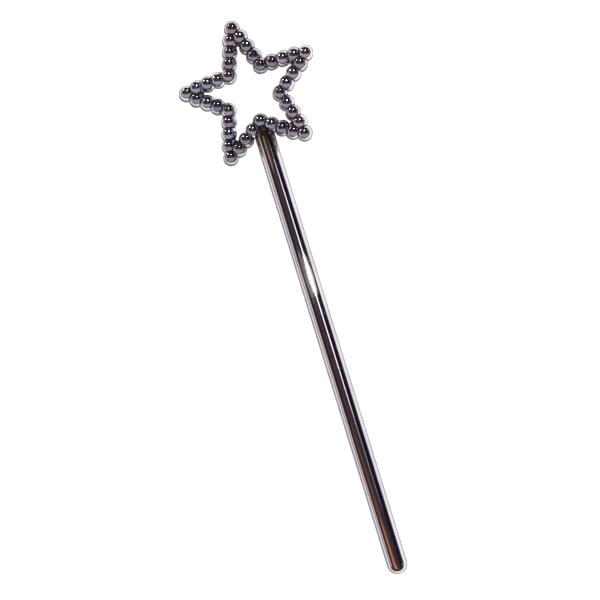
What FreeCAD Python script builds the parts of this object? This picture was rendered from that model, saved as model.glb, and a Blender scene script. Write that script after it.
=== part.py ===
import FreeCAD, Part
import math
import os
import Sketcher

# A child's star wand in bright plated plastic. A five-pointed star, outlined by a chain of
# round beads, stands on a straight round rod that is domed at both ends. The star and the
# rod are each moulded as a front and a back half shell, which meet on the plane through the
# rod's axis. The wand lies on its back: X is across it, Y runs along the rod towards the
# star, Z points up, and the origin is the middle of the ground that it lies on.

# Driving sizes in millimetres.
SIZES = {
    "star": {
        "bead_diameter": 8.86,
        "bead_pitch": 6.55,         # from bead to bead along the chain
        "corner_reach": 16.3,       # star's centre to the bead in each inner corner
        "tip_pair_spacing": 6.05,   # between the two beads that stand behind each tip bead
        "web_diameter": 4.4,        # flat disc that fills the crotch behind each tip
        "web_thickness": 2.0,
        "web_setback": 2.4,         # from the tip pair's line to the disc's centre
        "star_wall": 1.3,           # wall left round the hollow inside each side
        "star_pin_diameter": 2.4,
        "star_pin_height": 2.2,
    },
    "rod": {
        "rod_diameter": 11.0,
        "rod_length": 258.3,
        "rod_wall": 1.4,
        "dome_bite": 0.72,          # depth of the dome's seat in the bead that it meets
        "neck_block": 12.0,         # solid stretch below the top dome's crown
        "rib_thickness": 1.2,
        "rib_margin": 18.0,         # from the hollow's ends to the first and last rib
        "boss_diameter": 4.4,
        "rod_pin_diameter": 2.2,
        "rod_pin_height": 2.4,
        "tongue_width": 0.6,
        "tongue_height": 0.8,
    },
    "stem": {
        "stem_diameter": 5.0,
        "key_width": 6.4,           # crossbar at the stem's end, locked between the rod's halves
        "key_length": 2.2,
        "key_height": 5.4,
        "key_depth": 7.0,           # from the top dome's crown to the crossbar
    },
    "fits": {
        "seat_gap": 0.08,           # between the rod's dome and the beads that it is let into
        "slot_gap": 0.1,            # round the stem, its crossbar, the pins and the tongue
    },
}
STAR_POINTS = 5
BEADS_PER_SIDE = 3                  # between a tip bead and a corner bead
BEAD_FACETS = 14                    # round a bead, seen along the chain
HOLLOW_FACETS = 6
RING_LATITUDES = (-75, -50, -25, 0, 25, 50, 75)     # degrees from a bead's middle, along the chain
ROD_RIBS = 4

doc = FreeCAD.newDocument("star_wand")


def fill_sheet():
    sheet = doc.addObject("Spreadsheet::Sheet", "Sizes")
    row = 1
    for group in SIZES.values():
        for alias, value in group.items():
            sheet.set(f"A{row}", alias)
            sheet.set(f"B{row}", str(value))
            sheet.setAlias(f"B{row}", alias)
            row += 1
    doc.recompute()


def size(alias):
    return f"Sizes.{alias}"


def bind(thing, **formulas):
    """Tie properties to formulas. A double underscore stands for the dot in a property's path."""
    for path, formula in formulas.items():
        thing.setExpression(path.replace("__", "."), formula)


def part(kind, name, **formulas):
    thing = doc.addObject(f"Part::{kind}", name)
    bind(thing, **formulas)
    return thing


def fuse(name, shapes):
    thing = doc.addObject("Part::MultiFuse", name)
    thing.Shapes = shapes
    thing.Refine = False
    return thing


def boolean(kind, name, base, tool):
    thing = doc.addObject(f"Part::{kind}", name)
    thing.Base, thing.Tool = base, tool
    thing.Refine = False
    return thing


# Formulas for the chain, in the star's own frame: its centre at the origin, one tip on +Y.
BEAD_RADIUS = f"{size('bead_diameter')} / 2"
HALF_TURN = f"{180 / STAR_POINTS} deg"
CORNER_X = f"{size('corner_reach')} * sin({HALF_TURN})"
CORNER_Y = f"{size('corner_reach')} * cos({HALF_TURN})"
PAIR_X = f"{size('tip_pair_spacing')} / 2"
SIDE_RUN = f"{BEADS_PER_SIDE} * {size('bead_pitch')}"
PAIR_Y = f"({CORNER_Y} + sqrt(({SIDE_RUN})^2 - ({CORNER_X} - {PAIR_X})^2))"
TIP_Y = f"({PAIR_Y} + sqrt({size('bead_pitch')}^2 - ({PAIR_X})^2))"

# The rod's crown is let into the corner bead that it meets, and the wand's length follows.
CROWN_REACH = f"({size('corner_reach')} + {BEAD_RADIUS} - {size('dome_bite')})"
ROD_RADIUS = f"{size('rod_diameter')} / 2"
WAND_LENGTH = f"({size('rod_length')} + {CROWN_REACH} + {TIP_Y} + {BEAD_RADIUS})"
STAR_CENTRE_Y = f"({WAND_LENGTH} / 2 - {TIP_Y} - {BEAD_RADIUS})"

# The lean of a side from its point's axis, and a bead's radius where it meets the next one.
LEAN = f"asin(({CORNER_X} - {PAIR_X}) / ({SIDE_RUN}))"
WAIST_RADIUS = f"sqrt(({BEAD_RADIUS})^2 - ({size('bead_pitch')} / 2)^2)"


def turned(x, y, turn):
    """A place in the chain, turned by some of the star's points about its centre."""
    angle = f"{turn * 360 / STAR_POINTS} deg"
    return (f"({x}) * cos({angle}) - ({y}) * sin({angle})",
            f"({x}) * sin({angle}) + ({y}) * cos({angle})")


def chain_places():
    """Every bead by name: its place, and the heading of the chain there, from +Y round to -X."""
    places = {}
    for turn in range(STAR_POINTS):
        heading = f"{turn * 360 / STAR_POINTS} deg"
        places[f"tip_{turn}"] = (*turned("0", TIP_Y, turn), f"{heading} + 90 deg")
        places[f"corner_{turn}"] = (*turned(f"-({CORNER_X})", CORNER_Y, turn),
                                    f"{heading} + {HALF_TURN} + 90 deg")
        for side, sign in (("left", "-1"), ("right", "1")):
            for step in range(1, BEADS_PER_SIDE + 1):
                share = step / BEADS_PER_SIDE
                x = f"{sign} * ({CORNER_X} + ({PAIR_X} - {CORNER_X}) * {share})"
                y = f"{CORNER_Y} + ({PAIR_Y} - {CORNER_Y}) * {share}"
                places[f"{side}_{turn}_{step}"] = (*turned(x, y, turn), f"{heading} + {sign} * {LEAN}")
    return places


def make_rings(name, facets, stations):
    """Regular polygons square to +Y, each with its radius and its distance along +Y."""
    rings = []
    for number, (radius, along) in enumerate(stations):
        ring = part("RegularPolygon", f"{name}_ring_{number}", Circumradius=radius,
                    Placement__Base__y=along)
        ring.Polygon = facets
        ring.Placement.Rotation = FreeCAD.Rotation(FreeCAD.Vector(1, 0, 0), 90)
        rings.append(ring)
    return rings


def loft(name, rings, place):
    """A faceted body through a row of rings, set at a place in the chain and along its heading."""
    x, y, heading = place
    body = part("Loft", name, Placement__Base__x=x, Placement__Base__y=y,
                Placement__Rotation__Angle=heading)
    body.Sections = rings
    body.Solid, body.Ruled, body.Linearize = True, True, True
    return body


def make_beads(places):
    """Round beads in many small flats, which share one row of rings."""
    rings = make_rings("bead", BEAD_FACETS, [(f"{BEAD_RADIUS} * cos({latitude} deg)",
                                              f"{BEAD_RADIUS} * sin({latitude} deg)")
                                             for latitude in RING_LATITUDES])
    return [loft(f"bead_{name}", rings, place) for name, place in places.items()]


def make_hollows(places):
    """The hollow inside each side, from its first bead to its last. It swells in the middle
    bead and keeps to the waists elsewhere, clear of the neck's seat and of the next side."""
    narrow = f"{WAIST_RADIUS} - {size('star_wall')}"
    wide = f"{BEAD_RADIUS} - {size('star_wall')}"
    rings = make_rings("hollow", HOLLOW_FACETS,
                       [(radius, f"{step} * {size('bead_pitch')} / 2")
                        for step, radius in enumerate((narrow, narrow, wide, narrow, narrow))])
    return [loft(f"hollow_{name}", rings, place) for name, place in places.items()
            if name.startswith(("left", "right")) and name.endswith("_1")]


def make_stem():
    """The stem that reaches from the neck's corner bead into the rod, and its crossbar."""
    length = f"({CROWN_REACH} + {size('key_depth')} + {size('key_length')} - {size('corner_reach')})"
    stem = part("Cylinder", "stem", Radius=f"{size('stem_diameter')} / 2", Height=length,
                Placement__Base__y=f"-{size('corner_reach')}")
    stem.Placement.Rotation = FreeCAD.Rotation(FreeCAD.Vector(1, 0, 0), 90)
    key = part("Box", "stem_key", Length=size("key_width"), Width=size("key_length"),
               Height=size("key_height"), Placement__Base__x=f"-{size('key_width')} / 2",
               Placement__Base__y=f"-({CROWN_REACH} + {size('key_depth')} + {size('key_length')})",
               Placement__Base__z=f"-{size('key_height')} / 2")
    return fuse("keyed_stem", [stem, key])


def make_seat(stem):
    """The space that the rod's dome takes up in the beads at the neck, all round the stem."""
    radius = f"({ROD_RADIUS} + {size('seat_gap')})"
    centre = f"-({CROWN_REACH} + {ROD_RADIUS})"
    dome = part("Sphere", "seat_dome", Radius=radius, Placement__Base__y=centre)
    barrel = part("Cylinder", "seat_barrel", Radius=radius, Height=size("rod_diameter"),
                  Placement__Base__y=centre)
    barrel.Placement.Rotation = FreeCAD.Rotation(FreeCAD.Vector(1, 0, 0), 90)
    return boolean("Cut", "rod_seat", fuse("rod_top", [dome, barrel]), stem)


def make_upper_half(places):
    """The star above its mid-plane: beads, webs and stem, less the hollows and the rod's seat."""
    pieces = make_beads(places)
    for turn in range(STAR_POINTS):
        x, y = turned("0", f"({PAIR_Y} - {size('web_setback')})", turn)
        pieces.append(part("Cylinder", f"web_{turn}", Radius=f"{size('web_diameter')} / 2",
                           Height=size("web_thickness"), Placement__Base__x=x, Placement__Base__y=y,
                           Placement__Base__z=f"-{size('web_thickness')} / 2"))
    stem = make_stem()
    chain = fuse("chain", pieces + [stem])
    reach = f"({TIP_Y} + {size('bead_diameter')})"
    above = part("Box", "upper_side", Length=f"2 * {reach}", Width=f"2 * {reach}",
                 Height=size("bead_diameter"), Placement__Base__x=f"-{reach}",
                 Placement__Base__y=f"-{reach}")
    upper = boolean("Common", "upper_chain", chain, above)
    return boolean("Cut", "upper_half", upper, fuse("star_cuts", make_hollows(places) + [make_seat(stem)]))


def make_star_halves(places):
    """Both halves of the star. Pins on the back half's tips stand in the front half's sockets."""
    upper = make_upper_half(places)
    lower = doc.addObject("Part::Mirroring", "lower_half")
    lower.Source = upper
    lower.Normal = FreeCAD.Vector(0, 0, 1)
    pins, sockets = [], []
    for turn in range(STAR_POINTS):
        x, y, _ = places[f"tip_{turn}"]
        for kind, growth, row in (("pin", "0", pins), ("socket", size("slot_gap"), sockets)):
            height = f"({size('star_pin_height')} + {growth})"
            row.append(part("Cylinder", f"star_{kind}_{turn}",
                            Radius=f"{size('star_pin_diameter')} / 2 + {growth}", Height=f"2 * {height}",
                            Placement__Base__x=x, Placement__Base__y=y, Placement__Base__z=f"-{height}"))
    front = boolean("Cut", "star_front", upper, fuse("star_sockets", sockets))
    back = fuse("star_back", [lower] + pins)
    for half in (front, back):
        bind(half, Placement__Base__y=STAR_CENTRE_Y, Placement__Base__z=ROD_RADIUS)
    return [front, back]


# The rod is drawn in its own frame, from its lower crown at the origin up along +Y.
BORE_RADIUS = f"({ROD_RADIUS} - {size('rod_wall')})"
BLOCK_Y = f"({size('rod_length')} - {size('neck_block')})"
RIB_SPAN = f"({BLOCK_Y} - {size('rod_wall')} - 2 * {size('rib_margin')})"
RIB_Y = f"({size('rod_wall')} + {size('rib_margin')})"
WALL_MIDDLE = f"({ROD_RADIUS} - {size('rod_wall')} / 2)"
TOP_DOME_Y = f"({size('rod_length')} - {ROD_RADIUS})"


def plane(body, role):
    return next(item for item in body.Origin.OriginFeatures if item.Role == role)


def value_of(formula):
    return float(doc.getObject("Sizes").evalExpression(formula))


def new_sketch(body, name):
    sketch = body.newObject("Sketcher::SketchObject", name)
    sketch.AttachmentSupport = [(plane(body, "XY_Plane"), "")]
    sketch.MapMode = "FlatFace"
    return sketch


def draw_loop(sketch, corners):
    """A closed outline through corners (x, y, bend). A bend is the y of the centre, on the
    axis, of an arc that leads to the next corner; without one a straight line leads there."""
    places = [FreeCAD.Vector(value_of(x), value_of(y), 0) for x, y, _ in corners]
    ends = []
    for index, (_, _, bend) in enumerate(corners):
        start, end = places[index], places[(index + 1) % len(places)]
        if bend is None:
            sketch.addGeometry(Part.LineSegment(start, end), False)
            ends.append((1, 2))
            continue
        # an arc always runs anticlockwise, so on the way down it is entered at its end
        centre = FreeCAD.Vector(0, value_of(bend), 0)
        forward = (start - centre).cross(end - centre).z > 0
        first, last = (start, end) if forward else (end, start)
        circle = Part.Circle(centre, FreeCAD.Vector(0, 0, 1), (start - centre).Length)
        angles = [math.atan2(place.y - centre.y, place.x) for place in (first, last)]
        sketch.addGeometry(Part.ArcOfCircle(circle, *angles), False)
        ends.append((1, 2) if forward else (2, 1))
    for index, (x, y, bend) in enumerate(corners):
        first = ends[index][0]
        before = (index - 1) % len(corners)
        sketch.addConstraint(Sketcher.Constraint("Coincident", before, ends[before][1], index, first))
        for kind, formula, axis in (("DistanceX", x, -2), ("DistanceY", y, -1)):
            if formula == "0":
                sketch.addConstraint(Sketcher.Constraint("PointOnObject", index, first, axis))
                continue
            number = sketch.addConstraint(Sketcher.Constraint(kind, -1, 1, index, first, value_of(formula)))
            sketch.setExpression(f"Constraints[{number}]", formula)
        if bend is not None:
            sketch.addConstraint(Sketcher.Constraint("PointOnObject", index, 3, -2))


def draw_circle(sketch, y, radius):
    """A circle centred on the rod's axis."""
    centre = FreeCAD.Vector(0, value_of(y), 0)
    circle = sketch.addGeometry(Part.Circle(centre, FreeCAD.Vector(0, 0, 1), value_of(radius)), False)
    sketch.addConstraint(Sketcher.Constraint("PointOnObject", circle, 3, -2))
    for constraint, formula in (
            (Sketcher.Constraint("DistanceY", -1, 1, circle, 3, value_of(y)), y),
            (Sketcher.Constraint("Radius", circle, value_of(radius)), radius)):
        number = sketch.addConstraint(constraint)
        sketch.setExpression(f"Constraints[{number}]", formula)


def spin(body, name, sketch, below, cut=False):
    """Half a turn of a sketch about the rod's axis, to one side of the mid-plane."""
    feature = body.newObject("PartDesign::Groove" if cut else "PartDesign::Revolution", name)
    feature.Profile = sketch
    feature.ReferenceAxis = (sketch, ["V_Axis"])
    feature.Angle = 180
    feature.Reversed = not below
    return feature


def extrude(body, name, sketch, length, below, cut=False):
    """Pad or cut a sketch from the mid-plane by a length, to one side of it."""
    feature = body.newObject("PartDesign::Pocket" if cut else "PartDesign::Pad", name)
    feature.Profile = sketch
    feature.Reversed = below != cut
    bind(feature, Length=length)
    return feature


def mirror(body, name, feature):
    """The same feature on the other side of the rod's axis."""
    mirrored = body.newObject("PartDesign::Mirrored", name)
    mirrored.Originals = [feature]
    mirrored.MirrorPlane = (plane(body, "YZ_Plane"), [""])
    body.Tip = mirrored
    return mirrored


def half_box(x, low, high):
    """A rectangle from the axis out to x, between two heights along the rod."""
    return [("0", low, None), (x, low, None), (x, high, None), ("0", high, None)]


def half_strip(inner, outer, top):
    """A strip that follows the hollow's wall from the lower crown's inside up to top."""
    return [("0", f"{ROD_RADIUS} - {outer}", ROD_RADIUS), (outer, ROD_RADIUS, None), (outer, top, None),
            (inner, top, None), (inner, ROD_RADIUS, ROD_RADIUS), ("0", f"{ROD_RADIUS} - {inner}", None)]


def make_rod_half(label, below):
    body = doc.addObject("PartDesign::Body", label)
    body.Label = label

    # shell, domed at both ends, and hollow up to the solid neck
    wall = new_sketch(body, f"{label}_section")
    draw_loop(wall, [("0", "0", ROD_RADIUS), (ROD_RADIUS, ROD_RADIUS, None),
                     (ROD_RADIUS, TOP_DOME_Y, TOP_DOME_Y), ("0", size("rod_length"), None),
                     ("0", BLOCK_Y, None), (BORE_RADIUS, BLOCK_Y, None),
                     (BORE_RADIUS, ROD_RADIUS, ROD_RADIUS), ("0", size("rod_wall"), None)])
    spin(body, f"{label}_shell", wall, below)

    # cross ribs, each with a boss that holds a pin or a socket, evenly spaced along the hollow
    rib_sketch = new_sketch(body, f"{label}_rib_section")
    draw_loop(rib_sketch, half_box(WALL_MIDDLE, RIB_Y, f"{RIB_Y} + {size('rib_thickness')}"))
    rib = spin(body, f"{label}_rib", rib_sketch, below)
    boss_y = f"{RIB_Y} + {size('rib_thickness')} / 2"
    boss_sketch = new_sketch(body, f"{label}_boss_outline")
    draw_circle(boss_sketch, boss_y, f"{size('boss_diameter')} / 2")
    boss = extrude(body, f"{label}_boss", boss_sketch, WALL_MIDDLE, below)
    pin_sketch = new_sketch(body, f"{label}_pin_outline")
    if below:
        draw_circle(pin_sketch, boss_y, f"{size('rod_pin_diameter')} / 2")
        pin = extrude(body, f"{label}_pin", pin_sketch, size("rod_pin_height"), below=False)
    else:
        draw_circle(pin_sketch, boss_y, f"{size('rod_pin_diameter')} / 2 + {size('slot_gap')}")
        pin = extrude(body, f"{label}_socket", pin_sketch, f"{size('rod_pin_height')} + {size('slot_gap')}",
                      below=False, cut=True)
    row = body.newObject("PartDesign::LinearPattern", f"{label}_rib_row")
    row.Originals = [rib, boss, pin]
    row.Direction = (rib_sketch, ["V_Axis"])
    row.Occurrences = ROD_RIBS
    bind(row, Length=RIB_SPAN)
    body.Tip = row

    # neck: a hole for the star's stem, and a slot that locks the stem's crossbar
    hole = new_sketch(body, f"{label}_stem_section")
    draw_loop(hole, half_box(f"{size('stem_diameter')} / 2 + {size('slot_gap')}",
                             f"{size('rod_length')} - {size('key_depth')}",
                             f"{size('rod_length')} + {size('slot_gap')}"))
    spin(body, f"{label}_stem_hole", hole, below, cut=True)
    slot_sketch = new_sketch(body, f"{label}_key_outline")
    draw_loop(slot_sketch, half_box(
        f"{size('key_width')} / 2 + {size('slot_gap')}",
        f"{size('rod_length')} - {size('key_depth')} - {size('key_length')} - {size('slot_gap')}",
        f"{size('rod_length')} - {size('key_depth')} + {size('slot_gap')}"))
    slot = extrude(body, f"{label}_key_slot", slot_sketch, f"{size('key_height')} / 2 + {size('slot_gap')}",
                   below, cut=True)
    mirror(body, f"{label}_key_slots", slot)

    # seam: a tongue along the hollow's edge of the back half stands in a rebate of the front one
    seam_sketch = new_sketch(body, f"{label}_seam_outline")
    tongue_edge = f"({BORE_RADIUS} + {size('tongue_width')})"
    if below:
        draw_loop(seam_sketch, half_strip(BORE_RADIUS, tongue_edge, BLOCK_Y))
        seam = extrude(body, f"{label}_tongue", seam_sketch, size("tongue_height"), below=False)
    else:
        draw_loop(seam_sketch, half_strip(f"({BORE_RADIUS} - {size('tongue_width')} / 2)",
                                          f"({tongue_edge} + {size('slot_gap')})",
                                          f"{BLOCK_Y} + {size('slot_gap')}"))
        seam = extrude(body, f"{label}_rebate", seam_sketch, f"{size('tongue_height')} + {size('slot_gap')}",
                       below=False, cut=True)
    mirror(body, f"{label}_seam", seam)

    bind(body, Placement__Base__y=f"-{WAND_LENGTH} / 2", Placement__Base__z=ROD_RADIUS)
    return body


def check_and_write(nodes):
    failed = [item.Name for item in doc.Objects if {"Invalid", "Error"} & set(item.State)]
    if failed:
        raise SystemExit(f"these objects failed to build: {failed}")
    os.makedirs("parts", exist_ok=True)
    for node in nodes:
        shape = node.Shape
        if shape.isNull() or not shape.isValid() or len(shape.Solids) != 1:
            raise SystemExit(f"{node.Label} is not one valid solid")
        box = shape.BoundBox
        print(f"{node.Label}: {shape.Volume / 1000:.2f} cm3, "
              f"x {box.XMin:.2f} to {box.XMax:.2f}, y {box.YMin:.2f} to {box.YMax:.2f}, "
              f"z {box.ZMin:.2f} to {box.ZMax:.2f}")
        shape.exportStep(f"parts/{node.Label}.step")


def main():
    fill_sheet()
    nodes = make_star_halves(chain_places())
    nodes += [make_rod_half("rod_front", below=False), make_rod_half("rod_back", below=True)]
    doc.recompute()
    check_and_write(nodes)


main()
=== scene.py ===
import math

import bmesh
import bpy
import numpy as np
from mathutils import Matrix, Vector


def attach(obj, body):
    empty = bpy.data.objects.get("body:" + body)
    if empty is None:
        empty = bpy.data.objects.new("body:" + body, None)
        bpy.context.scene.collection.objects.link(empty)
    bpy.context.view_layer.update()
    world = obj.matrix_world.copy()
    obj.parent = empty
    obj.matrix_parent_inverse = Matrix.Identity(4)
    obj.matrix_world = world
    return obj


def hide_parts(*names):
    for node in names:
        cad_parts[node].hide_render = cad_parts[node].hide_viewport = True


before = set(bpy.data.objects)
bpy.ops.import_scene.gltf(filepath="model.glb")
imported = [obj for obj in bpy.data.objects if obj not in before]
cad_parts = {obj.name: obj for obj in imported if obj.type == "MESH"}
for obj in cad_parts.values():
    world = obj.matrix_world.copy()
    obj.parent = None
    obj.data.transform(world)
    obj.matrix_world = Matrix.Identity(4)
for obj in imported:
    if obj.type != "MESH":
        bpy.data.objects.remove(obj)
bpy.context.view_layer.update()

# A child's star wand lies on its back: X across, Y along the rod to the star, Z up.
mm = 0.001
seamHeight = 5.5             # mm, where the front and back halves meet
beyond = (200, 300, 50)      # mm, past the wand on every side
mergeDistance = 1e-7         # m
onSeam = 1e-6                # m, how far from the seam still counts as on it
facingUp = 0.9999            # the least that a face in the seam faces straight up or down
cornerAngle = 35             # degrees, edges sharper than this keep a crisp corner
flatsFirst = 60              # how much the larger faces lead in the shading, of 100


def meshObject(name, bm):
    mesh = bpy.data.meshes.new(name)
    bm.to_mesh(mesh)
    bm.free()
    made = bpy.data.objects.new(name, mesh)
    bpy.context.scene.collection.objects.link(made)
    return made


def fromMm(name, bm):
    bmesh.ops.scale(bm, verts=bm.verts, vec=(mm, mm, mm))
    return meshObject(name, bm)


def bakeModifiers(thing):
    depsgraph = bpy.context.evaluated_depsgraph_get()
    mesh = bpy.data.meshes.new_from_object(thing.evaluated_get(depsgraph))
    old = thing.data
    thing.modifiers.clear()
    thing.data = mesh
    bpy.data.meshes.remove(old)
    mesh.name = thing.name


def combine(body, tool, operation):
    step = body.modifiers.new("combine", "BOOLEAN")
    step.operation = operation
    step.solver = "MANIFOLD"
    step.object = tool
    bakeModifiers(body)
    bpy.data.objects.remove(tool)
    return body


def copyOf(thing, name):
    twin = thing.copy()
    twin.data = thing.data.copy()
    twin.name = name
    bpy.context.scene.collection.objects.link(twin)
    return twin


def boxTool(low, high):
    bm = bmesh.new()
    middle = Vector([(a + b) / 2 for a, b in zip(low, high)])
    sides = [b - a for a, b in zip(low, high)]
    bmesh.ops.create_cube(bm, size=1.0,
                          matrix=Matrix.Translation(middle) @ Matrix.Diagonal((*sides, 1.0)))
    return fromMm("boxTool", bm)


def seamRim(bm):
    # the rim between the flat seam face and the outside
    flat = [f for f in bm.faces if abs(f.normal.z) > facingUp
            and all(abs(v.co.z - seamHeight * mm) < onSeam for v in f.verts)]
    inside = set(flat)
    return [e for f in flat for e in f.edges
            if any(other not in inside for other in e.link_faces)]


def easeSeam(thing, width):
    # a hair of a bevel at the seam, so that the parting line shows close up
    bm = bmesh.new()
    bm.from_mesh(thing.data)
    bmesh.ops.remove_doubles(bm, verts=bm.verts, dist=mergeDistance)
    bm.normal_update()
    bmesh.ops.bevel(bm, geom=seamRim(bm), offset=width * mm, offset_type="OFFSET", segments=1,
                    profile=0.5, affect="EDGES", clamp_overlap=True, material=-1)
    bm.to_mesh(thing.data)
    bm.free()


def smoothWithCorners(thing):
    thing.data.polygons.foreach_set("use_smooth", [True] * len(thing.data.polygons))
    thing.data.set_sharp_from_angle(angle=math.radians(cornerAngle))
    even = thing.modifiers.new("evenShading", "WEIGHTED_NORMAL")
    even.keep_sharp = True
    even.weight = flatsFirst
    bakeModifiers(thing)


# The star: a closed chain of round beads, with a flat web in the crotch behind each tip.
beadStar = {
    "centre": (0.0, 118.185),
    "points": 5,
    "beadRadius": 4.43,
    "pitch": 6.55,               # from bead to bead along a side
    "cornerReach": 16.3,         # from the star's middle to an inner corner's bead
    "tipPair": 6.05,             # between the two beads behind a tip
    "sectors": 64,
    "bands": 33,                 # odd, so that the seam runs through the middle of a band
    "webReach": 29.4,
    "webRadius": 3.0,
    "webThickness": 2.0,
    "webHollowReach": 24.6,      # the web's inner edge is hollowed from here
    "webHollowRadius": 3.0,
    "webHollowDepth": 6.0,
    "webSectors": 64,
    "seamBevel": 0.05,
}
# How the beads differ: each step is a share of the whole range from one bead to the next.
beadVariety = {
    "creaseWidth": 0.9,          # mm, where one bead nears the next and the painted shade and dust gather
    "toneStep": 0.618,
    "turnStep": 0.7549,
    "leanStep": 0.5698,
    "leastLean": 0.3,
}
# The stem that reaches from the star into the rod, and its crossbar.
starStem = {
    "radius": 2.5,
    "keyDepth": 7.0,             # from the rod's crown to the crossbar
    "keyLength": 2.2,
    "keyWidth": 6.4,
    "keyHeight": 5.4,
    "slotGap": 0.1,
    "slotOverrun": 1.01,         # keeps the slot's two ends from coinciding
    "sectors": 48,
}
# The rod: two half shells, domed at both ends, solid round the stem.
plainRod = {
    "radius": 5.5,
    "lowEnd": -160.13,
    "crown": 98.17,
    "domeSteps": 24,
    "sectors": 64,               # round half of the rod
    "rows": 36,
    "wall": 1.4,
    "neckBlock": 12.0,
    "seatGap": 0.08,
    "seatDepth": 40.0,           # from the crown, well past the lowest bead
    "seamBevel": 0.09,
}


def starPlace(spot, point):
    around = Matrix.Rotation(-2 * math.pi * point / beadStar["points"], 2)
    return around @ Vector(spot) + Vector(beadStar["centre"])


def beadSpots():
    pitch = beadStar["pitch"]
    halfTurn = math.pi / beadStar["points"]
    corner = Vector((math.sin(halfTurn), math.cos(halfTurn))) * beadStar["cornerReach"]
    halfPair = beadStar["tipPair"] / 2
    rise = math.sqrt((3 * pitch) ** 2 - (corner.x - halfPair) ** 2)
    pair = Vector((halfPair, corner.y + rise))
    tip = Vector((0.0, pair.y + math.sqrt(pitch ** 2 - halfPair ** 2)))
    first, second = corner.lerp(pair, 1 / 3), corner.lerp(pair, 2 / 3)
    left = Matrix.Scale(-1, 2, (1, 0))
    # three sets, and the beads of one set keep clear of each other
    sets = [[corner, second, tip, left @ second], [first, pair, left @ first], [left @ pair]]
    return [[starPlace(spot, point) for spot in spots for point in range(beadStar["points"])]
            for spots in sets]


def beadSet(spots):
    bm = bmesh.new()
    for spot in spots:
        bmesh.ops.create_uvsphere(bm, u_segments=beadStar["sectors"],
                                  v_segments=beadStar["bands"], radius=beadStar["beadRadius"],
                                  matrix=Matrix.Translation((spot.x, spot.y, seamHeight)))
    return fromMm("beadSet", bm)


def discs(reach, radius, thickness):
    bm = bmesh.new()
    for point in range(beadStar["points"]):
        spot = starPlace((0.0, reach), point)
        bmesh.ops.create_cone(bm, cap_ends=True, segments=beadStar["webSectors"],
                              radius1=radius, radius2=radius, depth=thickness,
                              matrix=Matrix.Translation((spot.x, spot.y, seamHeight)))
    return fromMm("discs", bm)


def roundBar(radius, start, end, sectors):
    bm = bmesh.new()
    middle = Matrix.Translation((0, (start + end) / 2, seamHeight))
    lying = Matrix.Rotation(math.radians(90), 4, "X")
    bmesh.ops.create_cone(bm, cap_ends=True, segments=sectors, radius1=radius, radius2=radius,
                          depth=end - start, matrix=middle @ lying)
    return fromMm("roundBar", bm)


def keyedStem(spare):
    # spare makes the slot larger than the stem all round
    keyTop = plainRod["crown"] - starStem["keyDepth"]
    keyEnd = keyTop - starStem["keyLength"]
    neck = beadStar["centre"][1] - beadStar["cornerReach"]
    stem = roundBar(starStem["radius"] + spare, keyEnd - spare, neck, starStem["sectors"])
    halfWidth, halfHeight = starStem["keyWidth"] / 2 + spare, starStem["keyHeight"] / 2 + spare
    low = (-halfWidth, keyEnd - spare * starStem["slotOverrun"], seamHeight - halfHeight)
    high = (halfWidth, keyTop + spare, seamHeight + halfHeight)
    return combine(stem, boxTool(low, high), "UNION")


def rodSolid(radius, lowEnd, highEnd, domedTop):
    # half of the outline, turned all the way round the rod's middle line
    steps, rows = plainRod["domeSteps"], plainRod["rows"]
    turns = [math.radians(90) * k / steps for k in range(steps + 1)]
    outline = [(radius * math.sin(t), lowEnd + radius * (1 - math.cos(t))) for t in turns]
    top = highEnd - radius if domedTop else highEnd
    bottom = outline[-1][1]
    outline += [(radius, bottom + (top - bottom) * k / rows) for k in range(1, rows)]
    if domedTop:
        outline += [(radius * math.sin(t), highEnd - radius * (1 - math.cos(t)))
                    for t in reversed(turns)]
    else:
        outline += [(radius, top), (0.0, top)]
    bm = bmesh.new()
    row = [bm.verts.new((x * mm, y * mm, seamHeight * mm)) for x, y in outline]
    line = [bm.edges.new(pair) for pair in zip(row, row[1:])]
    bmesh.ops.spin(bm, geom=row + line, cent=(0, 0, seamHeight * mm), axis=(0, 1, 0),
                   angle=2 * math.pi, steps=2 * plainRod["sectors"], use_merge=True)
    bmesh.ops.remove_doubles(bm, verts=bm.verts, dist=mergeDistance)
    bmesh.ops.recalc_face_normals(bm, faces=bm.faces)
    return meshObject("rodSolid", bm)


def halved(whole, names):
    # names are for the half above the seam and the half below it
    front, back = whole, copyOf(whole, names[1])
    front.name = names[0]
    x, y, z = beyond
    combine(front, boxTool((-x, -y, -z), (x, y, seamHeight)), "DIFFERENCE")
    combine(back, boxTool((-x, -y, seamHeight), (x, y, z)), "DIFFERENCE")
    return front, back


def noteOnPoints(thing, name, kind, field, values):
    layer = thing.data.attributes.new(name, kind, "POINT")
    layer.data.foreach_set(field, values.astype(np.float32).ravel())


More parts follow.
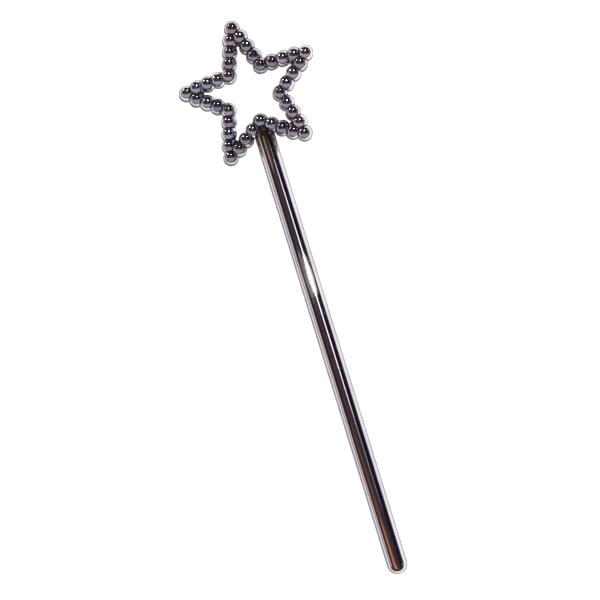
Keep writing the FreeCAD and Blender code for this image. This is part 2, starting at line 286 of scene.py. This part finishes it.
def noteBeads(thing):
    # crevice: 1 in the creases between beads and 0 on their open sides, for the painted shade,
    # with some dust,
    # # darkened there; beadLot and beadLean: how bright each bead is and which way it leans
    centres = np.array([(*spot, seamHeight) for spots in beadSpots() for spot in spots]) * mm
    points = np.empty(len(thing.data.vertices) * 3)
    thing.data.vertices.foreach_get("co", points)
    reach = np.linalg.norm(points.reshape(-1, 3)[:, None] - centres[None], axis=2)
    gaps = np.sort(reach, axis=1)
    crevice = np.clip(1 - (gaps[:, 1] - gaps[:, 0]) / (beadVariety["creaseWidth"] * mm), 0, 1)
    noteOnPoints(thing, "crevice", "FLOAT", "value", crevice)

    count = np.arange(len(centres))
    turn = 2 * math.pi * (count * beadVariety["turnStep"] % 1)
    least = beadVariety["leastLean"]
    much = least + (1 - least) * (count * beadVariety["leanStep"] % 1)
    leans = np.stack((much * np.cos(turn), much * np.sin(turn), 0 * turn), axis=1)
    lots = count * beadVariety["toneStep"] % 1
    nearest = np.argmin(reach, axis=1)
    noteOnPoints(thing, "beadLot", "FLOAT", "value", lots[nearest])
    noteOnPoints(thing, "beadLean", "FLOAT_VECTOR", "vector", leans[nearest])


def makeStar():
    star, second, third = [beadSet(spots) for spots in beadSpots()]
    combine(star, second, "UNION")
    combine(star, third, "UNION")
    webs = discs(beadStar["webReach"], beadStar["webRadius"], beadStar["webThickness"])
    hollows = discs(beadStar["webHollowReach"], beadStar["webHollowRadius"],
                    beadStar["webHollowDepth"])
    combine(star, combine(webs, hollows, "DIFFERENCE"), "UNION")
    seat = rodSolid(plainRod["radius"] + plainRod["seatGap"],
                    plainRod["crown"] - plainRod["seatDepth"],
                    plainRod["crown"] + plainRod["seatGap"], True)
    combine(star, seat, "DIFFERENCE")
    combine(star, keyedStem(0.0), "UNION")
    print("star: chain joined,", len(star.data.polygons), "faces")
    halves = halved(star, ("starFront", "starBack"))
    for half in halves:
        easeSeam(half, beadStar["seamBevel"])
        smoothWithCorners(half)
        noteBeads(half)
    print("star: halves", [len(half.data.polygons) for half in halves])
    return halves


def makeRod():
    rod = rodSolid(plainRod["radius"], plainRod["lowEnd"], plainRod["crown"], True)
    halves = halved(rod, ("rodFront", "rodBack"))
    for half in halves:
        easeSeam(half, plainRod["seamBevel"])
        bore = rodSolid(plainRod["radius"] - plainRod["wall"],
                        plainRod["lowEnd"] + plainRod["wall"],
                        plainRod["crown"] - plainRod["neckBlock"], False)
        combine(half, bore, "DIFFERENCE")
        combine(half, keyedStem(starStem["slotGap"]), "DIFFERENCE")
        smoothWithCorners(half)
    print("rod: halves", [len(half.data.polygons) for half in halves])
    return halves


# Finish: bright plating over moulded plastic.
beadPlating = {
    "brightTone": (0.74, 0.71, 0.75, 1),
    "dullTone": (0.58, 0.57, 0.63, 1),
    "toneSize": 90.0,            # patches per metre
    "smooth": 0.02,
    "smudged": 0.09,
    "hairlines": (900.0, 900.0, 900.0),
    "waviness": 0.3,
    "ripple": 0.38,
    "scuffs": 0.5,
    "coolTint": (0.89, 1.0, 0.99, 1),
    "warmTint": (1.0, 0.94, 0.96, 1),
    "edgeTint": (0.10, 0.08, 0.11, 1),
    "toneSpread": (0.80, 1.13),  # from the dullest bead to the brightest
    "beadTilt": 0.08,            # how far a bead's facing strays from true
    # painted shade, with some dust, darkening the creases between beads
    "creaseShadeAndDustTone": (0.16, 0.13, 0.15, 1),
    "creviceEdge": (0.35, 1.0),
    "creviceRoughness": 0.5,
}
rodPlating = {
    "brightTone": (0.74, 0.71, 0.75, 1),
    "dullTone": (0.64, 0.62, 0.67, 1),
    "toneSize": 35.0,
    "smooth": 0.06,
    "smudged": 0.13,
    "hairlines": (1400.0, 12.0, 1400.0),
    "waviness": 0.12,
    "ripple": 0.01,
    "scuffs": 1.0,
    "coolTint": (0.93, 0.98, 1.0, 1),
    "warmTint": (1.0, 0.95, 0.92, 1),
    "edgeTint": (0.10, 0.08, 0.11, 1),
    # painted shade darkening the rod towards its neck, under the star
    "neckShadeTone": (0.36, 0.29, 0.22, 1),
    "neckShadeEdge": (0.080, 0.097),  # m along the rod, where the painted shade sets in
}
# The marks that both platings carry: how many to the metre, and where each one starts and is full.
marks = {
    "toneEdge": (0.42, 0.68),
    "filmScale": 75.0,
    "paintedReflectionLean": 3.5,             # how much warmer the painted reflection tint gets per metre to the right
    "filmEdge": (0.3, 0.7),
    "smudgeScale": 160.0,
    "smudgeEdge": (0.5, 0.75),
    "hairEdge": (0.58, 0.74),
    "hairShare": 0.6,            # a hairline dulls less than a smudge
    "hairDepth": -0.012,
    "scuffScale": (800, 330, 800),
    "scuffEdge": (0.06, 0.2),
    "scuffDepth": -0.07,
    "handledScale": 55.0,
    "handledEdge": (0.46, 0.6),
    "waveScale": 130.0,
    "rippleScale": 420.0,
    "relief": 0.0003,            # m, height of a mark of 1
}
# The parting line at the seam, where the plating is thinner and duller.
partingLine = {
    "width": 0.00022,
    "tone": (0.45, 0.43, 0.46, 1),
    "roughness": 0.42,
    "speckScale": 420.0,
    "speckEdge": (0.35, 0.6),
}
colourSocket, numberSocket, vectorSocket = "NodeSocketColor", "NodeSocketFloat", "NodeSocketVector"
platingInputs = {
    "brightTone": colourSocket,
    "dullTone": colourSocket,
    "toneSize": numberSocket,
    "smooth": numberSocket,
    "smudged": numberSocket,
    "hairlines": vectorSocket,
    "waviness": numberSocket,
    "ripple": numberSocket,
    "scuffs": numberSocket,
    "coolTint": colourSocket,
    "warmTint": colourSocket,
}


def addNode(tree, kind, **settings):
    perRow, across, down = 12, 220, -320
    made = tree.nodes.new(kind)
    count = len(tree.nodes)
    made.location = (count % perRow * across, count // perRow * down)
    for key, value in settings.items():
        setattr(made, key, value)
    return made


def feed(tree, value, socket):
    # a socket is linked, and a plain value is set
    if isinstance(value, bpy.types.NodeSocket):
        tree.links.new(value, socket)
    else:
        socket.default_value = value


def feedAll(tree, node, values):
    for name, value in values.items():
        feed(tree, value, node.inputs[name])
    return node


def worked(tree, operation, *terms):
    made = addNode(tree, "ShaderNodeMath", operation=operation)
    for term, socket in zip(terms, made.inputs):
        feed(tree, term, socket)
    return made.outputs["Value"]


def vectorWorked(tree, operation, *terms):
    made = addNode(tree, "ShaderNodeVectorMath", operation=operation)
    for term, socket in zip(terms, made.inputs):
        feed(tree, term, socket)
    return made.outputs["Value" if operation == "DOT_PRODUCT" else "Vector"]


def ranged(tree, value, low, high, start, end, shape):
    made = addNode(tree, "ShaderNodeMapRange", interpolation_type=shape)
    return feedAll(tree, made, {"Value": value, "From Min": low, "From Max": high,
                                "To Min": start, "To Max": end}).outputs["Result"]


def eased(tree, value, low, high, start=0.0, end=1.0):
    return ranged(tree, value, low, high, start, end, "SMOOTHSTEP")


def between(tree, amount, start, end):
    return ranged(tree, amount, 0.0, 1.0, start, end, "LINEAR")


def mixed(tree, amount, a, b, how="MIX"):
    made = addNode(tree, "ShaderNodeMix", data_type="RGBA", blend_type=how)
    return feedAll(tree, made, {"Factor": amount, "A": a, "B": b}).outputs["Result"]


def noise(tree, place, scale, **more):
    made = addNode(tree, "ShaderNodeTexNoise")
    return feedAll(tree, made, {"Vector": place, "Scale": scale, **more}).outputs["Fac"]


def ownPlace(tree):
    return addNode(tree, "ShaderNodeTexCoord").outputs["Object"]


def split(tree, place):
    return feedAll(tree, addNode(tree, "ShaderNodeSeparateXYZ"), {"Vector": place}).outputs


def ownAttribute(tree, name):
    return addNode(tree, "ShaderNodeAttribute", attribute_name=name).outputs


def newGroup(name, inputs, outputs):
    tree = bpy.data.node_groups.new(name, "ShaderNodeTree")
    for way, sockets in (("INPUT", inputs), ("OUTPUT", outputs)):
        for label, kind in sockets.items():
            tree.interface.new_socket(label, in_out=way, socket_type=kind)
    return tree, addNode(tree, "NodeGroupInput").outputs, addNode(tree, "NodeGroupOutput").inputs


def platingGroup():
    tree, given, result = newGroup("platedSurface", platingInputs, {
        "colour": colourSocket, "roughness": numberSocket, "height": numberSocket})
    place = ownPlace(tree)
    patches = noise(tree, place, given["toneSize"], Detail=3.0, Roughness=0.55)
    patches = eased(tree, patches, *marks["toneEdge"])
    tone = mixed(tree, patches, given["brightTone"], given["dullTone"])

    # a faint tint of colour: random patches of film, and a painted reflection colour, cooler
    # towards the star's left and warmer towards its right
    film = noise(tree, place, marks["filmScale"], Detail=2.0)
    warmth = worked(tree, "MULTIPLY_ADD", split(tree, place)["X"], marks["paintedReflectionLean"], film)
    warmth = eased(tree, warmth, *marks["filmEdge"])
    filmAndReflectionTint = mixed(tree, warmth, given["coolTint"], given["warmTint"])
    feed(tree, mixed(tree, 1.0, tone, filmAndReflectionTint, "MULTIPLY"), result["colour"])

    # finger smudges and fine hairlines dull the surface
    smudges = noise(tree, place, marks["smudgeScale"], Detail=4.0, Roughness=0.6, Distortion=0.6)
    stretched = vectorWorked(tree, "MULTIPLY", place, given["hairlines"])
    hairs = noise(tree, stretched, 1.0, Detail=2.0, Roughness=0.7)
    hairs = eased(tree, hairs, *marks["hairEdge"])
    dulled = worked(tree, "MAXIMUM", eased(tree, smudges, *marks["smudgeEdge"]),
                    worked(tree, "MULTIPLY", hairs, marks["hairShare"]))
    feed(tree, between(tree, dulled, given["smooth"], given["smudged"]), result["roughness"])

    # short scuffs from handling, in loose patches
    spots = addNode(tree, "ShaderNodeTexVoronoi")
    shortened = vectorWorked(tree, "MULTIPLY", place, marks["scuffScale"])
    feedAll(tree, spots, {"Vector": shortened, "Scale": 1.0})
    scuffs = eased(tree, spots.outputs["Distance"], *marks["scuffEdge"], 1.0, 0.0)
    handled = noise(tree, place, marks["handledScale"], Detail=2.0)
    handled = eased(tree, handled, *marks["handledEdge"])
    scuffs = worked(tree, "MULTIPLY", worked(tree, "MULTIPLY", scuffs, handled), given["scuffs"])

    # slow waves and finer ripples in the moulding, under the hairlines and scuffs
    waves = noise(tree, place, marks["waveScale"], Detail=1.0)
    height = worked(tree, "MULTIPLY", waves, given["waviness"])
    height = worked(tree, "MULTIPLY_ADD", hairs, marks["hairDepth"], height)
    height = worked(tree, "MULTIPLY_ADD", scuffs, marks["scuffDepth"], height)
    ripples = noise(tree, place, marks["rippleScale"], Detail=1.0)
    feed(tree, worked(tree, "MULTIPLY_ADD", ripples, given["ripple"], height), result["height"])
    return tree


def partingGroup():
    tree, given, result = newGroup("partingLine", {"width": numberSocket}, {"mask": numberSocket})
    place = ownPlace(tree)
    level = worked(tree, "SUBTRACT", split(tree, place)["Z"], seamHeight * mm)
    near = eased(tree, worked(tree, "ABSOLUTE", level), 0.0, given["width"], 1.0, 0.0)
    specks = noise(tree, place, partingLine["speckScale"], Detail=3.0)
    broken = ranged(tree, specks, *partingLine["speckEdge"], 0.0, 1.0, "LINEAR")
    feed(tree, worked(tree, "MULTIPLY", near, broken), result["mask"])
    return tree


def newMaterial(name):
    material = bpy.data.materials.new(name)
    material.use_nodes = True
    return material, material.node_tree, material.node_tree.nodes["Principled BSDF"]


def beadToBead(tree, look, colour):
    # each bead is a little duller or brighter than the next, and leans its own way
    vary = addNode(tree, "ShaderNodeVectorMath", operation="SCALE")
    feed(tree, colour, vary.inputs[0])
    lot = ownAttribute(tree, "beadLot")["Fac"]
    feed(tree, between(tree, lot, *look["toneSpread"]), vary.inputs["Scale"])
    facing = addNode(tree, "ShaderNodeNewGeometry").outputs["Normal"]
    lean = ownAttribute(tree, "beadLean")["Vector"]
    facing = vectorWorked(tree, "MULTIPLY_ADD", lean, (look["beadTilt"],) * 3, facing)
    return vary.outputs["Vector"], vectorWorked(tree, "NORMALIZE", facing)


def platingMaterial(name, look, surface, parting):
    material, tree, shader = newMaterial(name)
    feedAll(tree, shader, {"Metallic": 1.0, "IOR": 1.5, "Specular Tint": look["edgeTint"]})
    plated = addNode(tree, "ShaderNodeGroup", node_tree=surface)
    feedAll(tree, plated, {key: look[key] for key in platingInputs})
    line = addNode(tree, "ShaderNodeGroup", node_tree=parting)
    seam = feedAll(tree, line, {"width": partingLine["width"]}).outputs["mask"]
    colour = mixed(tree, seam, plated.outputs["colour"], partingLine["tone"])
    roughness = between(tree, seam, plated.outputs["roughness"], partingLine["roughness"])
    bump = addNode(tree, "ShaderNodeBump")
    feedAll(tree, bump, {"Strength": 1.0, "Distance": marks["relief"],
                         "Height": plated.outputs["height"]})
    if "creaseShadeAndDustTone" in look:
        colour, facing = beadToBead(tree, look, colour)
        feed(tree, facing, bump.inputs["Normal"])
        # painted shade, with some dust, darkens the creases between beads
        creaseShadeAndDust = eased(tree, ownAttribute(tree, "crevice")["Fac"], *look["creviceEdge"])
        colour = mixed(tree, creaseShadeAndDust, colour, look["creaseShadeAndDustTone"])
        roughness = between(tree, creaseShadeAndDust, roughness, look["creviceRoughness"])
    if "neckShadeTone" in look:
        # painted shade darkens the rod towards its neck, under the star
        neck = eased(tree, split(tree, ownPlace(tree))["Y"], *look["neckShadeEdge"])
        colour = mixed(tree, neck, colour, look["neckShadeTone"])
    feedAll(tree, shader, {"Base Color": colour, "Roughness": roughness,
                           "Normal": bump.outputs["Normal"]})
    return material


# The set: a pale floor in a room with grey walls under a dark ceiling, which the plating mirrors.
studio = {
    "floorTone": (0.96, 0.96, 0.96, 1),
    "floorRoughness": 0.9,
    "floorGlow": 0.05,
    "floorRadius": 4.0,
    "floorSides": 96,
    "wallTone": (0.43, 0.40, 0.46, 1),
    "leftWall": (0.88, 0.78, 0.84, 1),
    "rightCorner": (0.012, 0.010, 0.020, 1),
    "skirting": (0.14, 0.125, 0.15, 1),
    # the dark ceiling's tones from the left to the right
    "ceilingTones": ((-0.84, (0.080, 0.050, 0.048, 1)), (-0.63, (0.012, 0.007, 0.006, 1)),
                     (-0.40, (0.092, 0.052, 0.044, 1)), (0.00, (0.056, 0.042, 0.047, 1)),
                     (0.50, (0.042, 0.036, 0.050, 1)), (0.72, (0.012, 0.010, 0.020, 1))),
}
# Edges between the room's parts: a direction, how far along it the edge lies, and how soft it is.
roomEdges = {
    "aboveRod": ((0, 1, 0), -0.14, 0.03),
    "belowRod": ((0, -1, 0), -0.14, 0.03),
    "left": ((-1, 0, 0), 0.5, 0.1),
    "right": ((1, 0, 0), 0.5, 0.1),
    "overSkirting": ((0, 0, 1), 0.20, 0.06),
    "ceilingFromLeft": ((1, -0.36, 0), -0.88, 0.04),
    "ceilingToRight": ((-1.0185, 0.0085, 0.2276), -0.78, 0.08),
}
# Lamps: place, what it points at, shape, sizes, watts, tint, and what alone mirrors it.
lamps = {
    "keyLamp": ((0.73, 0.11, 2.6), (0, 0, 0), "ELLIPSE", (0.22, 0.22), 88.0, (1, 1, 1), None),
    "beadSpark": ((0.442, 0.742, 1.04), (0, 0.118, 0), "ELLIPSE", (0.11, 0.11), 1.5,
                  (1, 0.97, 1), "star"),
    "beadGlint": ((-0.486, 0.949, 0.534), (0, 0.118, 0), "ELLIPSE", (0.06, 0.18), 0.7,
                  (0.85, 1, 1), "star"),
    "beadHaze": ((0.21, 0.308, 0.96), (0, 0.118, 0), "ELLIPSE", (0.35, 0.58), 0.035,
                 (0.95, 0.9, 1), "star"),
    "beadPanel": ((-0.110, -0.240, 0.337), (0, 0.118, 0.0055), "RECTANGLE", (1.73, 0.543), 1.2,
                  (0.95, 0.87, 1), "star"),
    "rodStreak": ((0.126, -0.010, 0.215), (0, -0.010, 0.005), "ELLIPSE", (0.035, 0.26), 0.0137,
                  (0.80, 0.80, 1), "rod"),
    "rodGleam": ((0.122, 0.014, 0.216), (0, 0.014, 0.005), "ELLIPSE", (0.048, 0.18), 0.034,
                 (0.88, 0.90, 1), "rod"),
    "rodFlare": ((0.132, 0.022, 0.210), (0, 0.022, 0.005), "ELLIPSE", (0.34, 0.026), 0.0218,
                 (0.92, 0.96, 1), "rod"),
    "rodSpark": ((0.121, 0.022, 0.218), (0, 0.022, 0.005), "ELLIPSE", (0.13, 0.028), 0.018,
                 (1, 1, 1), "rod"),
    "rodHaze": ((-0.065, 0.022, 0.225), (0, 0.022, 0.005), "ELLIPSE", (0.20, 0.034), 0.0037,
                (0.95, 0.93, 1), "rod"),
    "neckGlow": ((-0.068, 0.121, 0.248), (0, 0.121, 0.005), "ELLIPSE", (0.104, 0.05), 0.0037,
                 (1, 0.85, 0.5), "rod"),
    "footGlow": ((-0.127, -0.42, 0.245), (-0.127, -0.42, 0), "ELLIPSE", (0.31, 0.68), 0.058,
                 (1, 0.40, 0.16), "rod"),
    "footGleam": ((-0.110, -0.30, 0.244), (-0.110, -0.30, 0), "ELLIPSE", (0.16, 0.31), 0.052,
                  (1, 0.40, 0.15), "rod"),
}
photoCamera = {
    "place": (255.218, -41.303, 1188.345),   # mm
    "right": (0.9303383, -0.29502293, -0.21778914),
    "up": (0.29529481, 0.95486789, -0.032067),
    "back": (0.21742036, -0.03447885, 0.97546891),
    "lens": 131.18,
    "sensor": 36,
    "shift": (-0.0005, -0.0006),
    "clip": (0.05, 30),
}


def makeFloor():
    bm = bmesh.new()
    bmesh.ops.create_circle(bm, cap_ends=True, segments=studio["floorSides"],
                            radius=studio["floorRadius"])
    floor = meshObject("floor", bm)
    material, tree, shader = newMaterial("paleFloor")
    # a faint glow keeps the floor white to the camera, in mirrors and through glass
    path = addNode(tree, "ShaderNodeLightPath").outputs
    seen = worked(tree, "MAXIMUM", path["Is Camera Ray"], path["Is Glossy Ray"])
    seen = worked(tree, "MAXIMUM", seen, path["Is Transmission Ray"])
    glow = worked(tree, "MULTIPLY", seen, studio["floorGlow"])
    feedAll(tree, shader, {"Base Color": studio["floorTone"], "Specular IOR Level": 0.0,
                           "Roughness": studio["floorRoughness"],
                           "Emission Color": (1, 1, 1, 1), "Emission Strength": glow})
    floor.data.materials.append(material)


def makeWorld():
    world = bpy.data.worlds.new("room")
    bpy.context.scene.world = world
    world.use_nodes = True
    tree = world.node_tree
    place = addNode(tree, "ShaderNodeTexCoord").outputs["Generated"]

    def inside(edge):
        # 1 on the inner side of an edge, 0 beyond it
        direction, offset, soft = roomEdges[edge]
        reach = vectorWorked(tree, "DOT_PRODUCT", place, direction)
        return eased(tree, reach, offset - soft, offset + soft)

    def inBoth(a, b):
        return worked(tree, "MULTIPLY", a, b)

    ceiling = addNode(tree, "ShaderNodeValToRGB")
    reach = ranged(tree, split(tree, place)["X"], -1.0, 1.0, 0.0, 1.0, "LINEAR")
    feed(tree, reach, ceiling.inputs["Fac"])
    stops = ceiling.color_ramp.elements
    while len(stops) < len(studio["ceilingTones"]):
        stops.new(0.5)
    for stop, (reach, tone) in zip(stops, studio["ceilingTones"]):
        stop.position, stop.color = (reach + 1) / 2, tone

    besideRod = inBoth(inside("aboveRod"), inside("belowRod"))
    walls = mixed(tree, inBoth(inside("left"), besideRod), studio["wallTone"], studio["leftWall"])
    walls = mixed(tree, inBoth(inside("right"), besideRod), walls, studio["rightCorner"])
    walls = mixed(tree, inside("overSkirting"), studio["skirting"], walls)
    overhead = inBoth(inside("ceilingFromLeft"), inside("ceilingToRight"))
    room = mixed(tree, overhead, walls, ceiling.outputs["Color"])
    feedAll(tree, tree.nodes["Background"], {"Color": room, "Strength": 1.0})


def makeLamps(mirrors):
    for name, (place, target, shape, (across, along), watts, tint, seenIn) in lamps.items():
        lamp = bpy.data.lights.new(name, "AREA")
        lamp.shape = shape
        lamp.size, lamp.size_y = across, along
        lamp.energy = watts
        lamp.color = tint
        thing = bpy.data.objects.new(name, lamp)
        thing.location = place
        facing = Vector(place) - Vector(target)
        if facing.y == 0:        # level with its target, so that its length lies along the rod
            thing.rotation_euler = (0, math.atan2(facing.x, facing.z), 0)
        else:
            thing.rotation_euler = (-facing).to_track_quat("-Z", "Y").to_euler()
        thing.visible_camera = False
        thing.visible_glossy = seenIn is not None
        if seenIn:
            thing.light_linking.receiver_collection = mirrors[seenIn]
        bpy.context.scene.collection.objects.link(thing)


def makeCamera():
    data = bpy.data.cameras.new("photoCamera")
    data.lens = photoCamera["lens"]
    data.sensor_width = photoCamera["sensor"]
    data.shift_x, data.shift_y = photoCamera["shift"]
    data.clip_start, data.clip_end = photoCamera["clip"]
    camera = bpy.data.objects.new("photoCamera", data)
    turn = Matrix([photoCamera["right"], photoCamera["up"], photoCamera["back"]]).transposed()
    camera.matrix_world = Matrix.Translation(Vector(photoCamera["place"]) * mm) @ turn.to_4x4()
    bpy.context.scene.collection.objects.link(camera)
    bpy.context.scene.camera = camera


makeCamera()
makeFloor()
makeWorld()
print("set: camera, floor and room")

starHalves = makeStar()
rodHalves = makeRod()
mirrors = {}
for name, halves in (("star", starHalves), ("rod", rodHalves)):
    mirrors[name] = bpy.data.collections.new(name + "Mirrors")
    for half in halves:
        mirrors[name].objects.link(half)
makeLamps(mirrors)
surface, parting = platingGroup(), partingGroup()
onBeads = platingMaterial("beadPlating", beadPlating, surface, parting)
onRod = platingMaterial("rodPlating", rodPlating, surface, parting)
for piece, node, material in ((starHalves[0], "star_front", onBeads),
                              (starHalves[1], "star_back", onBeads),
                              (rodHalves[0], "rod_front", onRod),
                              (rodHalves[1], "rod_back", onRod)):
    piece.data.materials.clear()
    piece.data.materials.append(material)
    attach(piece, "root")
    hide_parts(node)
print("finish: plating on", len(starHalves) + len(rodHalves), "pieces")

bpy.context.scene.view_settings.view_transform = "Standard"
